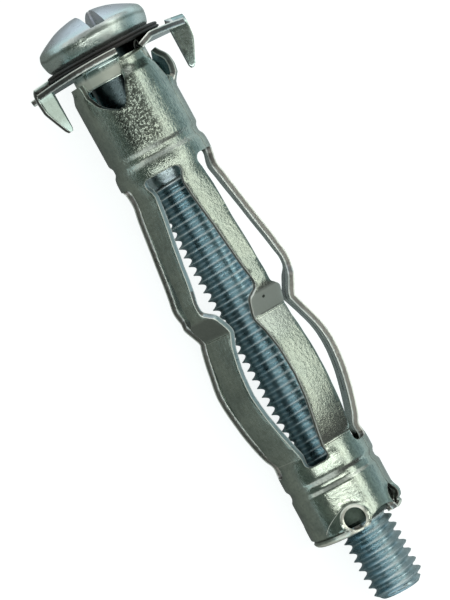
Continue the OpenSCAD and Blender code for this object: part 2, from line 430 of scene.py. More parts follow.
def plating(name, pale, deep, rough, grain, size=3.4, streak=(1, 1, 0.2)):
    """Zinc plated metal: two tints in soft clouds, drawn streaks and a rolled grain.

    Gives what finished() needs, so that marks can be added to the colour and the height.
    """
    material, tree, shader = nodes_of(name)
    even = anchor_mm(tree)
    clouds = noise(tree, even, 0.42, 4, 0.6)
    lines = noise(tree, anchor_mm(tree, streak), 4.0, 3, 0.6)
    pits = noise(tree, even, size, 3, 0.65)
    tint = ramp(tree, clouds, (0.38, deep), (0.62, pale))
    colour = mixed(tree, 0.55, tint, ramp(tree, lines, (0.32, 0.78), (0.66, 1.0)), "MULTIPLY")
    colour = mixed(tree, 0.5, colour, ramp(tree, pits, (0.34, 0.6), (0.56, 1.0)), "MULTIPLY")
    dull = ramp(tree, plus(tree, clouds, pits), (0.75, rough[0]), (1.25, rough[1]))
    feed(tree, shader, {"Roughness": dull, "Metallic": 1.0})
    height = calc(tree, "MULTIPLY_ADD", lines, 0.5, pits)
    return material, tree, shader, colour, height, grain


def finished(parts, colour=None, height=None):
    """Links the colour and the height of a plating, with what was added to them."""
    material, tree, shader, plain, even, grain = parts
    feed(tree, shader, {"Base Color": colour or plain})
    embossed(tree, shader, height or even, grain, 0.04)
    return material


def sheet_zinc(name):
    """The sleeve's outside, with its butt seam, a scratch and a pit in the sheet, painted highlights
    along the creases and on rims, and painted shade on the inside, in specks, on the left pads and along
    the fold.
    """
    parts = plating(name, (0.54, 0.6, 0.52), (0.4, 0.46, 0.41), (0.12, 0.2), 1.0, 5.0)
    tree, shader, colour, height = parts[1:5]
    flat = flat_place(tree)
    around, along = (times(tree, part, FLAT_MAP) for part in split(tree, flat)[:2])

    def field(degrees, t, reach, half):
        """1 in a rectangle of the sheet, reach long and half wide to each side of its middle."""
        here = within(tree, along, t, reach)
        return times(tree, here, within(tree, around, degrees * PER_DEGREE, half))

    def from_spot(degrees, t):
        """Distance on the flat map from a spot of the sheet."""
        return far_from(tree, flat, (degrees * PER_DEGREE / FLAT_MAP, t / FLAT_MAP, 0))

    # marks as thin lines (the seam, a scratch, painted highlights along the creases, painted shade along
    # the fold), and a pit
    seam = line_at(tree, around, SEAM_AT * PER_DEGREE, 0.05)
    bright = most(tree, *(line_at(tree, along, t, 0.05) for t in CREASE_GLINT_LINES))
    down = minus(tree, along, 35.0)
    bent = calc(tree, "MULTIPLY_ADD", calc(tree, "MULTIPLY_ADD", down, 0.637, -3.006), down, -1.076)
    scratch = times(tree, line_at(tree, around, bent, 0.045), field(-52, 36.0, 0.62, 1.3))
    bright = most(tree, bright, scratch)
    pit = calc(tree, "LESS_THAN", from_spot(-3.5, 19.85), 0.1 / FLAT_MAP)
    # painted shade: a dark line along the fold where the tabs turn in
    fold_shade = times(tree, line_at(tree, along, 36.98, 0.09), field(-90, 37, 1, 42 * PER_DEGREE))
    dark = most(tree, times(tree, seam, 0.8), most(tree, pit, fold_shade))

    # the legs' greyer tint, painted shade on the inside face near the top, and painted shade as dark
    # specks on the upper barrel
    greyer = ramp(tree, along, (0.23, 0.0), (0.27, 0.25), (0.76, 0.25), (0.79, 0.0), scale=0.025)
    colour = mixed(tree, greyer, colour, (0.2, 0.22, 0.18))
    # painted shade: the inside face near the top turns dark teal
    teal = times(tree, wall_depth(tree), ramp(tree, along, (0.45, 0.75), (0.6, 0.0), scale=0.1))
    colour = mixed(tree, teal, colour, (0.14, 0.34, 0.35))
    shade_specks = ramp(tree, noise(tree, anchor_mm(tree), 6.5, 2, 0.7), (0.49, 0.9), (0.58, 0.0))
    aside = apart(tree, around, -30 * PER_DEGREE)
    patch = ramp(tree, along, (0.08, 0.0), (0.25, 1.0), (0.66, 1.0), (0.72, 0.0), scale=0.1)
    patch = times(tree, ramp(tree, aside, (0.42, 1.0), (0.62, 0.0), scale=0.4), patch)
    colour = mixed(tree, times(tree, patch, shade_specks), colour, SEAM_AND_SHADE_BLACK)
    colour = mixed(tree, times(tree, bright, 0.55), colour, (0.86, 0.9, 0.8))

    # painted highlights on the rims at the end and at a hole, and the flattened pads at the crease with
    # painted shade on the left ones
    end_rim = ramp(tree, minus(tree, along, 37.0), (0.12, 0.0), (0.26, 0.8), (0.5, 0.8), (0.7, 0.0))
    hole_rim = ramp(tree, from_spot(HOLE_TURNS[0], HOLE_AT), (0.44, 0.9), (0.52, 0.0), scale=20.0)
    rim_highlight = most(tree, end_rim, hole_rim)
    pad = ramp(tree, minus(tree, along, 19.0), (0.08, 0.0), (0.2, 1.0), (0.72, 1.0), (0.8, 0.0),
               scale=0.4)
    duller(tree, shader, most(tree, rim_highlight, pad), 0.4)
    # painted light and shade: the pads on the left are painted dark, those on the right paler
    lit_pads = calc(tree, "GREATER_THAN", around, -LEG_STEP / 2 * PER_DEGREE)
    pad_shade_and_light = mixed(tree, lit_pads, (0.1, 0.115, 0.1), (0.42, 0.47, 0.43))
    colour = mixed(tree, times(tree, pad, 0.85), colour, pad_shade_and_light)
    colour = mixed(tree, rim_highlight, colour, (0.94, 0.96, 0.84))
    # the dark seam and pit, and the painted shade along the fold
    colour = mixed(tree, dark, colour, SEAM_AND_SHADE_BLACK)

    coarse = ramp(tree, along, (0.04, 0.35), (0.09, 1.0), (0.2, 1.0), (0.24, 0.5), (0.68, 0.5),
                  (0.78, 0.3), scale=0.025)
    height = minus(tree, times(tree, height, coarse), times(tree, seam, 1.2))
    height = plus(tree, height, times(tree, bright, 0.5))
    return finished(parts, colour, height)


def sheared(name, torn_tint, slot_reflection_tint):
    """A sheared edge: painted highlights at both faces and torn between, a painted pale-blue reflection
    on the front slot's edge and a painted highlight on the right slot's edge.
    """
    parts = plating(name, (0.66, 0.74, 0.74), (0.5, 0.58, 0.58), (0.26, 0.4), 0.6, 5.0, (1, 1, 1))
    tree, shader, colour = parts[1:4]
    depth = wall_depth(tree)
    ragged = calc(tree, "MULTIPLY_ADD", noise(tree, anchor_mm(tree), 2.5, 3, 0.7), 0.3, depth)
    torn = ramp(tree, ragged, (0.28, 0.0), (0.38, 0.9), (0.85, 0.9), (1.0, 0.0))
    # painted highlights along both faces of the edge
    edge_highlight = ramp(tree, depth, (0.1, 0.9), (0.22, 0.0), (0.84, 0.0), (0.93, 0.7))
    around = split(tree, flat_place(tree))["X"]
    scale = PER_DEGREE / FLAT_MAP
    front, right = (within(tree, around, middle * scale, half * scale)
                    for middle, half in ((-50, 14), (-20, 13)))
    # painted highlight on the upper part of the right slot's edge
    rim_highlight = times(tree, right, ramp(tree, depth, (0.3, 0.9), (0.5, 0.0)))
    colour = mixed(tree, torn, colour, mixed(tree, front, torn_tint, slot_reflection_tint))
    edge_highlight = most(tree, edge_highlight, rim_highlight)
    duller(tree, shader, edge_highlight, 0.5)
    return finished(parts, mixed(tree, edge_highlight, colour, (0.95, 0.98, 0.9)))


def collar_zinc(name):
    """The collar's smooth plating, with a painted highlight round the lower part of its neck and painted
    shade on its prongs.
    """
    parts = plating(name, (0.50, 0.62, 0.60), (0.40, 0.52, 0.50), (0.1, 0.16), 0.12)
    tree, shader, colour = parts[1:4]
    x, y, z = split(tree, anchor_mm(tree))
    across = off_axis(tree, x, y)
    # painted highlight: a pale band round the lower part of the neck
    neck_highlight = ramp(tree, z, (0.36, 0.0), (0.52, 0.9), (0.8, 0.9), (0.88, 0.2), scale=0.5)
    neck_highlight = times(tree, neck_highlight, calc(tree, "LESS_THAN", across, 2.9))
    duller(tree, shader, neck_highlight, 0.4)
    # painted shade on the prongs
    prong_shade = ramp(tree, z, (0.1, 0.0), (0.25, 0.6), (0.6, 0.6), (0.85, 0.1), scale=0.25)
    prong_shade = times(tree, prong_shade, calc(tree, "GREATER_THAN", across, 4.2))
    colour = mixed(tree, prong_shade, colour, (0.16, 0.17, 0.14))
    return finished(parts, mixed(tree, neck_highlight, colour, (0.9, 0.93, 0.82)))


def screw_zinc(name):
    """The screw's plating: painted highlights on the crests, painted shade in the roots, on the shank
    and on the stub's right side, and a greyer, dented head with a painted sheen on its dome and painted
    shade in its crease.
    """
    parts = plating(name, (0.72, 0.86, 0.90), (0.58, 0.72, 0.77), (0.22, 0.32), 0.3, 4.5,
                    (0.6, 0.6, 2))
    tree, shader, colour, height = parts[1:5]
    even = anchor_mm(tree)
    x, y, z = split(tree, even)
    across = calc(tree, "DIVIDE", off_axis(tree, x, y), THREAD_R)
    below = calc(tree, "GREATER_THAN", z, SHANK_END + 0.2)
    # painted highlights on the thread's crests
    crest_glint = times(tree, ramp(tree, across, (0.92, 0.0), (0.98, 1.0)), below)
    # painted shade in the thread's roots
    root = times(tree, ramp(tree, across, (0.8, 1.0), (0.94, 0.0)), below)
    head = calc(tree, "LESS_THAN", z, UNDER_HEAD)
    # painted shade on the shank inside the sleeve, darker towards the head
    shank = minus(tree, minus(tree, 1.0, below), head)
    dull = ramp(tree, z, (0.5, 0.85), (0.85, 0.15), scale=0.1)
    # painted shade on the right side of the screw where it stands out past the sleeve
    stub_right_shade = times(tree, ramp(tree, y, (0.1, 0.0), (0.6, 0.7), scale=-0.5),
                 calc(tree, "GREATER_THAN", z, SLEEVE_END))
    # painted sheen: the top of the dome made pale lilac
    dome = times(tree, head, ramp(tree, z, (0.5, 0.0), (0.62, 1.0), scale=-0.25))
    wavy = calc(tree, "MULTIPLY_ADD", noise(tree, even, 0.4, 1, 0.4), 0.6, z)
    # the crease round the head, pressed in as relief and painted dark as shade
    crease = times(tree, line_at(tree, wavy, -1.3, 0.17), head)
    for marks, strength, tint in (
            (root, 0.6, (0.2, 0.34, 0.4)), (shank, dull, (0.05, 0.08, 0.09)),
            (crest_glint, 0.9, (0.9, 1.0, 1.0)), (stub_right_shade, 1.0, (0.17, 0.27, 0.3)),
            (head, 0.7, (0.6, 0.65, 0.58)), (dome, 0.8, (0.78, 0.77, 0.84)),
            (crease, 0.6, (0.14, 0.17, 0.14))):
        colour = mixed(tree, times(tree, marks, strength), colour, tint)
    duller(tree, shader, crest_glint, 0.5, at=0.85)
    away = far_from(tree, even, tuple(polar(3.6, SLOT_MOUTH, -2.0)))
    reach = ramp(tree, away, (0.1, 1.0), (0.5, 0.15), scale=0.2)
    dents = times(tree, times(tree, reach, head), noise(tree, even, 1.5, 2, 0.6))
    height = minus(tree, calc(tree, "MULTIPLY_ADD", dents, 4.0, height), crease)
    return finished(parts, colour, height)


def fibre(name):
    """Dark vulcanised fibre with a faintly layered edge."""
    material, tree, shader = nodes_of(name)
    layers = noise(tree, anchor_mm(tree, (1, 1, 6)), 3.0, 4, 0.7)
    tint = ramp(tree, layers, (0.3, (0.006, 0.006, 0.005)), (0.75, (0.04, 0.035, 0.03)))
    feed(tree, shader, {"Base Color": tint, "Roughness": 0.45})
    embossed(tree, shader, layers, 0.4, 0.03)
    return material


SHEET_ZINC = sheet_zinc("sheet_zinc")
CUT_EDGE = sheared("cut_edge", (0.2, 0.19, 0.17), (0.46, 0.57, 0.58))
PLATE_EDGE = sheared("plate_edge", (0.1, 0.09, 0.08), (0.1, 0.09, 0.08))
COLLAR_ZINC = collar_zinc("collar_zinc")
# painted shade: the threaded bush inside the sleeve is given a near-black plating
SHADED_BUSH_ZINC = finished(plating("shaded_bush_zinc", (0.09, 0.12, 0.1), (0.025, 0.035, 0.03), (0.2, 0.35), 1.0,
                             streak=(0.8, 0.8, 8)))
SCREW_ZINC = screw_zinc("screw_zinc")
DARK_FIBRE = fibre("dark_fibre")

# -------- sleeve
GROOVES = (7.1, SLOT_END + 1.1)
GROOVE_W = 0.78
FOLD_AT = 37.05
FOLD_R = 0.42
TAB_IN = 2.35


def groove_points(start, r):
    low = r - 0.17
    return [(start, r), (start + 0.1, low), (start + GROOVE_W - 0.1, low), (start + GROOVE_W, r)]


def bow_points():
    """The legs' lower bow, from the crease out to its widest point and back in."""
    widest, crease, end = 25.2, CREASE_AT, SLOT_END - 0.85
    points = []
    for z in np.linspace(crease + 0.3, end - 0.3, 14):
        up = z < widest
        k = (widest - z) / (widest - crease) if up else (z - widest) / (end - widest)
        low = CREASE_R if up else BEND_R
        points.append((z, LEG_R - 0.07 - (LEG_R - 0.07 - low) * k ** 1.7))
    return points


wall_r = softened(
    [(0.0, STRAP_R), (1.42, STRAP_R), (2.1, BARREL_R)]
    + groove_points(GROOVES[0], BARREL_R)
    + [(8.33, BAND_R), (8.85, BAND_R), (9.2, BAND_R - 0.03), (10.2, BEND_R), (10.45, BEND_R + 0.01),
       (17.4, LEG_R - 0.16), (18.0, LEG_R - 0.02), (18.4, LEG_R), (18.85, LEG_R - 0.05),
       (19.25, LEG_R - 0.2), (20.65, CREASE_R + 0.12), (CREASE_AT, CREASE_R)]
    + bow_points()
    + [(31.1, BEND_R), (31.8, BARREL_R - 0.02), (32.2, BARREL_R)]
    + groove_points(GROOVES[1], BARREL_R)
    + [(40.0, BARREL_R)], 0.09)


def sleeve_path(t):
    """Radius and height of the sheet's outer face, by the length along the sheet."""
    t = np.asarray(t, float)
    turned = np.clip((t - FOLD_AT) / FOLD_R, 0, math.pi / 2)
    along = np.maximum(t - FOLD_AT - FOLD_R * math.pi / 2, 0)
    r = wall_r(np.minimum(t, FOLD_AT)) - FOLD_R * (1 - np.cos(turned)) - along
    z = np.minimum(t, FOLD_AT) + FOLD_R * np.sin(turned)
    return r, z


def leg_angle(width, t):
    return np.degrees(np.arcsin(width / wall_r(t)))


def arc_points(x, y, r, start, end, n):
    angles = np.radians(np.linspace(start, end, n))
    return [(x + r * math.cos(a), y + r * math.sin(a)) for a in angles]


def leg_side():
    """Half a leg's outline as (half width, height), from the band down to the lower barrel."""
    corner = 0.48
    root, waist, pad, bow = 0.88, 0.57, 1.25, 1.06
    end = SLOT_END - 0.45
    return (
        arc_points(root * 0.8 + corner, SLOT_START + corner, corner, 270, 180, 6)
        + [(root * 0.8 + 0.03, 9.65), (root - 0.04, 9.98), (root, 10.3), (root, 11.4)]
        + [(0.73, 13.9), (0.67, 16.3), (waist, 18.0), (waist - 0.02, 18.75)]
        + arc_points(waist + 0.4, 18.9, 0.4, 180, 125, 5)
        + arc_points(pad - 0.45, 19.85, 0.45, -65, 0, 5)
        + [(pad + 0.01, 20.6), (pad, 21.0), (1.12, 21.9), (bow, 23.4), (bow, 25.6), (bow + 0.03, 27.4)]
        + [(bow + 0.1, 28.9), (bow + 0.12, 30.6), (bow + 0.1, end)]
        + arc_points(bow + 0.55, end, 0.45, 180, 90, 6))


def slot_loop(leg):
    """The slot between a leg and the next one."""
    side = np.array(leg_side())
    reach = leg_angle(side[:, 0], side[:, 1])
    near = np.stack([leg * LEG_STEP + reach, side[:, 1]], axis=1)
    far = np.stack([(leg + 1) * LEG_STEP - reach, side[:, 1]], axis=1)
    return np.concatenate([near, far[::-1]])


def top_edge():
    """The sleeve's top from one tongue round to the same tongue again: straps and windows."""
    near = [(60, 1.12), (55, 1.9), (50, 2.6), (46, 3.35), (42, 3.76), (39.5, 3.8), (36.5, 3.5),
            (31.5, 3.0), (26, 2.3), (23, 1.64), (18.6, 1.36), (18.1, 1.1), (18.1, 0.8), (17, 0.68)]
    far = [(17, 0.68), (18.1, 0.8), (18.1, 1.1), (18.6, 1.36), (21.5, 1.64), (24.5, 2.3), (29.5, 3.0),
           (34, 3.55), (38, 3.8), (46.5, 3.8), (60, 3.4), (70, 2.92), (79, 2.1), (86, 1.12)]
    points = []
    for turn in (0, -180):
        points += [(STRAP_AT + turn + a, t) for a, t in near]
        points += [(STRAP_AT + turn - a, t) for a, t in far]
    return points


TAB_END = FOLD_AT + FOLD_R * math.pi / 2 + (BARREL_R - FOLD_R - TAB_IN)
TAB_FROM, TAB_TO = 44, 155
ARCH = (-16, 34)
ARCH_RISE = 0.75
WALL_END = FOLD_AT + 0.33


def bottom_edge():
    """The sleeve's end from a tab round to the same tab again, with the arches between them."""
    points = []
    middle, half = sum(ARCH) / 2, (ARCH[1] - ARCH[0]) / 2
    for turn in (-360, -180):
        points += [(TAB_TO + turn, TAB_END), (TAB_TO + turn, WALL_END)]
        for a in np.linspace(ARCH[0], ARCH[1], 15):
            rise = math.sqrt(1 - ((a - middle) / half) ** 2) ** 1.2
            points.append((a + turn + 180, WALL_END - ARCH_RISE * rise))
        points += [(TAB_FROM + turn + 180, WALL_END), (TAB_FROM + turn + 180, TAB_END)]
    return points


def relief_loop(angle):
    return [(angle + math.degrees(x / BARREL_R), y)
            for x, y in arc_points(0, HOLE_AT, HOLE_R, 0, 351, 40)]


def blank_scale(points):
    """Angles of an outline as lengths on the sheet."""
    points = np.array(points, float)
    points[:, 0] *= PER_DEGREE
    return points


def sheet_mesh(name, loops, path, rows, spacing, shift, extra=()):
    """A blank cut to the outlines and rolled along the path; shift moves its points in the end."""
    verts, faces = cut_blank([blank_scale(loop) for loop in loops], rows, spacing, extra)
    angle = verts[:, 0] / PER_DEGREE
    r, z = path(verts[:, 1])
    dr, dz = shift(angle, verts[:, 1])
    mesh = new_mesh(name, polar(r + dr, angle, z + dz), faces)
    flat = mesh.uv_layers.new(name="flat")
    corner_verts = np.empty(len(mesh.loops), int)
    mesh.loops.foreach_get("vertex_index", corner_verts)
    flat.data.foreach_set("uv", (verts[corner_verts] / FLAT_MAP).ravel())
    weld(mesh)
    return mesh


def sprung_tongue(angle, t):
    """The edge of one tongue stands out from the barrel."""
    out = np.interp(t, (1.1, 1.9, 2.75, 3.4, 3.75, 4.1), (0.3, 0.52, 0.62, 0.5, 0.2, 0))
    return out * np.interp(np.mod(angle, 360), (36, 42, 62, 92, 110), (0, 1, 1, 0.35, 0))


def hole_lip(angle, t):
    """The sheet turns in at the rim of a punched hole and stands up a little round it."""
    lip = 0 * t
    for turn in (0, 180):
        for hole in HOLE_TURNS:
            across = np.mod(angle - turn - hole + 180, 360) - 180
            away = np.hypot(np.radians(across) * BARREL_R, t - HOLE_AT) - HOLE_R
            lip = lip - 0.11 * np.clip(1 - away / 0.2, 0, 1) ** 1.5 + 0.05 * bump(away, 0.26, 0.16)
    far_rim = bump(np.mod(angle + 180, 360) - 180, 57, 13) * bump(t, HOLE_AT, 0.75)
    return lip + 0.22 * far_rim


def sleeve_shift(angle, t):
    """Small unevenness of the rolled and pressed sheet."""
    a = np.radians(angle)
    wave = 0.012 * np.sin(3 * a + 0.7 * t) + 0.01 * np.sin(2 * a - 0.45 * t + 1)
    legs = 0.03 * np.sin(1.7 * t + 5 * np.round(angle / LEG_STEP)) * bump(t, 20.5, 9)
    crease = -0.035 * (bump(t, CREASE_AT, 0.2) + bump(t, 30.9, 0.2))
    wave = wave * np.clip((38 - t) / 6, 0, 1)
    off_leg = np.radians(np.mod(np.asarray(angle) + LEG_STEP / 2, LEG_STEP) - LEG_STEP / 2)
    flat = np.interp(t, (9.2, 11.0, 30.3, SLOT_END), (0, 1, 1, 0))
    across = 0.85 * flat * wall_r(t) * (1 / np.cos(np.clip(off_leg, -0.4, 0.4)) - 1)
    on_tab = np.mod(np.asarray(angle) - TAB_FROM - 2, 180) < TAB_TO - TAB_FROM - 4
    tabs = on_tab * bump(t, 37.0, 0.16) * -0.2
    return wave + legs + crease + across + tabs + sprung_tongue(angle, t) + hole_lip(angle, t), 0 * t


def sheet_piece(name, mesh, outward, edge, *materials):
    """Gives a rolled blank its wall, inwards from its drawn face, and rounds its cut edges."""
    for material in materials:
        mesh.materials.append(material)

    def turn_out(work):
        if sum(outward(face.calc_center_median()).dot(face.normal) for face in work.faces) < 0:
            bmesh.ops.reverse_faces(work, faces=work.faces)

    face_outwards(mesh)
    reworked(mesh, turn_out)
    drawn_face = BVHTree.FromPolygons([v.co for v in mesh.vertices], [f.vertices for f in mesh.polygons])
    piece = new_object(name, mesh)
    wall = piece.modifiers.new("wall", "SOLIDIFY")
    wall.thickness = SHEET
    wall.offset = -1
    wall.use_quality_normals = True
    wall.material_offset_rim = 1
    round_edges(piece, edge, 2, 50)
    mesh = applied(piece)
    deep = [drawn_face.find_nearest(v.co)[3] / SHEET for v in mesh.vertices]
    mesh.attributes.new("depth", "FLOAT", "POINT").data.foreach_set("value", deep)
    for face in mesh.polygons:
        levels = [deep[i] for i in face.vertices]
        if max(levels) - min(levels) > 0.04:
            face.material_index = 1
    return piece


def rings_round(angle, t):
    """Points round a relief hole, so that its lip has a smooth shape."""
    middle = (math.radians(angle) * BARREL_R, t)
    rings = []
    for away, n in ((0.08, 40), (0.17, 40), (0.27, 36), (0.4, 32)):
        r = HOLE_R + away
        rings += [(middle[0] + r * math.cos(a), middle[1] + r * math.sin(a))
                  for a in np.arange(n) * 2 * math.pi / n]
    return middle, HOLE_R + 0.5, rings


def make_sleeve():
    first, last = LEG_STEP - 360, LEG_STEP
    top = [(last, 1.12)] + top_edge()[1:-1] + [(first, 1.12)]
    bottom = [(first, TAB_END)] + bottom_edge() + [(last, TAB_END)]
    loops = [top + bottom]
    loops += [slot_loop(leg) for leg in range(-4, 1)]
    holes = [turn + angle for turn in (0, -180) for angle in HOLE_TURNS]
    loops += [relief_loop(angle) for angle in holes]
    fine = [(groove + GROOVE_W / 2, 0.5) for groove in GROOVES]
    fine += [(1.75, 0.5), (9.6, 0.7), (19, 0.9), (20.9, 0.4), (31, 0.9), (37.4, 0.6)]
    rows = rows_between(0.7, TAB_END, 0.28, 0.12, fine)
    lips = [rings_round(angle, HOLE_AT) for angle in holes]
    mesh = sheet_mesh("sleeve_sheet", loops, sleeve_path, rows, 0.26, sleeve_shift, lips)
    piece = sheet_piece("sleeve_sheet", mesh, lambda p: Vector((p.x, p.y, 0)), 0.07,
                        SHEET_ZINC, CUT_EDGE)
    return place(piece, "sleeve", ["sleeve"])


# -------- collar
NECK_TURN = 0.6
PLATE_LEN = COLLAR_R - NECK_BORE - NECK_TURN
NOTCH_W = 1.6
NOTCH_TURN = -28.0
NOTCH_SIDE = STRAP_R * math.sin(math.radians(STRAP_AT - NOTCH_TURN))
NOTCH_DEEP = 0.68
PRONG_W = 1.35
PRONG_BEND = 0.45
SLIT_SPAN = (44.0, 30.0)
PRONG_STEPS = 6


def collar_path(s):
    """Radius and height of the face towards the head, by the length in from the rim."""
    s = np.asarray(s, float)
    turned = np.clip((s - PLATE_LEN) / NECK_TURN, 0, math.pi / 2)
    down = np.maximum(s - PLATE_LEN - NECK_TURN * math.pi / 2, 0)
    r = COLLAR_R - np.minimum(s, PLATE_LEN) - NECK_TURN * np.sin(turned)
    return r, NECK_TURN * (1 - np.cos(turned)) + down


def beside(direction, side, r):
    """Angle of the point at radius r that lies the given way beside a direction."""
    return direction + math.degrees(math.asin(side / r))


def notch_edge(turn):
    """A notch with parallel sides, from the rim in and down the neck, and out again."""
    deep = PLATE_LEN + NECK_TURN * math.pi / 2 + NOTCH_DEEP - NECK_TURN
    steps = list(np.linspace(0, PLATE_LEN, 8)) + list(np.linspace(PLATE_LEN, deep, 5))[1:]
    points = []
    for side, order in ((NOTCH_SIDE - NOTCH_W / 2, steps), (NOTCH_SIDE + NOTCH_W / 2, steps[::-1])):
        for s in order:
            r = max(float(collar_path(s)[0]), NECK_BORE + SHEET)
            points.append((beside(turn + NOTCH_TURN, side, r), s))
    return points


def slit_edge(which):
    """The gap that a prong leaves in the rim, up to the bend of the prong itself."""
    at, inner = PRONG_AT[which], PRONG_IN[which]
    deep = COLLAR_R - inner
    far = at - SLIT_SPAN[which]
    points = [(far, 0), (far, deep - 0.1), (far + 2, deep + 0.05), (at - 0.5, deep + 0.05)]
    for i in range(PRONG_STEPS + 1):
        r = inner + PRONG_W * i / PRONG_STEPS
        points.append((beside(at, PRONG_BEND, r), COLLAR_R - r))
    return points + [(beside(at, PRONG_BEND, COLLAR_R), 0)]


def prong_mesh(which):
    """A prong: a bend down from the plate and a blade that narrows to its tip."""
    at, inner = PRONG_AT[which], PRONG_IN[which]
    rows = [(-PRONG_BEND + PRONG_BEND * math.sin(a), PRONG_BEND * (1 - math.cos(a)))
            for a in np.linspace(0, math.pi / 2, 6)]
    rows += [(0, z) for z in np.linspace(PRONG_BEND, PRONG_REACH, 14)[1:]]
    reach = PRONG_REACH
    outer = [(0, PRONG_W), (0.45, PRONG_W), (0.42 * reach, 0.93 * PRONG_W),
             (0.78 * reach, 0.52 * PRONG_W), (reach - 0.12, 0.3 * PRONG_W), (reach, 0.2 * PRONG_W)]
    near = [(0, 0), (reach - 0.14, 0), (reach, 0.07 * PRONG_W)]
    verts, faces = [], []
    for side, z in rows:
        x0 = inner + np.interp(z, *zip(*near))
        x1 = inner + np.interp(z, *zip(*outer))
        for x in np.linspace(x0, x1, PRONG_STEPS + 1):
            if z == 0:
                angle, r = beside(at, PRONG_BEND, x), x
            else:
                angle, r = at - math.degrees(math.atan2(side, x)), math.hypot(side, x)
            verts.append(polar(r, angle, z + plate_sag(angle, max(r, inner))))
    n = PRONG_STEPS + 1
    for k in range(len(rows) - 1):
        faces += [(k * n + i, k * n + i + 1, k * n + n + i + 1, k * n + n + i) for i in range(n - 1)]
    return verts, faces


def plate_sag(angle, r):
    """How far the flat rim gives way towards the tip: at both sides, and at one notch's corner."""
    from_front = np.radians(np.asarray(angle, float) - NOTCH_TURN)
    sides = 0.36 * np.sin(from_front) ** 2 * np.clip((r - 3.4) / 2.95, 0, 1) ** 1.3
    across = r * np.sin(from_front)
    corner = 0.45 * np.clip((3.45 - across) / 0.98, 0, 1) * (across > 2.3) * (np.cos(from_front) > 0)
    return sides + corner * np.clip((r - 2.95) / 0.4, 0, 1)


def collar_shift(angle, s):
    return 0 * s, plate_sag(angle, collar_path(s)[0])


def make_collar():
    first, last = -250.0, 110.0
    rim = [(a, 0.0) for a in np.arange(last, first, -4)]
    edges = [notch_edge(0), notch_edge(-180), slit_edge(0), slit_edge(1)]
    taken = [(min(e[0][0], e[-1][0]), max(e[0][0], e[-1][0])) for e in edges]
    rim = [[p] for p in rim if not any(low - 1 < p[0] < high + 1 for low, high in taken)]
    top = [p for part in sorted(rim + edges, key=lambda e: e[0][0]) for p in part]
    neck = PLATE_LEN + NECK_TURN * math.pi / 2 + NECK_END - NECK_TURN
    outline = [(first, neck), (first, 0)] + [p for p in top if first < p[0] < last]
    outline += [(last, 0), (last, neck)]
    rows = rows_between(0.2, neck, 0.28, 0.16, [(PLATE_LEN + 0.5, 0.6)])
    mesh = sheet_mesh("collar_plate", [outline], collar_path, rows, 0.2, collar_shift)
    verts = [v.co.copy() for v in mesh.vertices]
    faces = [tuple(p.vertices) for p in mesh.polygons]
    for which in (0, 1):
        more, quads = prong_mesh(which)
        faces += [tuple(i + len(verts) for i in quad) for quad in quads]
        verts += [Vector(v) for v in more]
    mesh = new_mesh("collar_plate", verts, faces)
    weld(mesh, 0.035)
    piece = sheet_piece("collar_plate", mesh, lambda p: Vector((0, 0, -1)), 0.05,
                        COLLAR_ZINC, PLATE_EDGE)
    return place(piece, "sleeve", ["collar"])


# -------- screw
THREAD_SIZES = {
    "Start": SHANK_END,
    "End": SCREW_END,
    "Pitch": PITCH,
    "Crest radius": THREAD_R - 0.005,
    "Root radius": 1.56,
    "Shank radius": 1.9,
    "Point radius": 1.42,
}
THREAD_SIDES = 48
THREAD_ROWS = 16


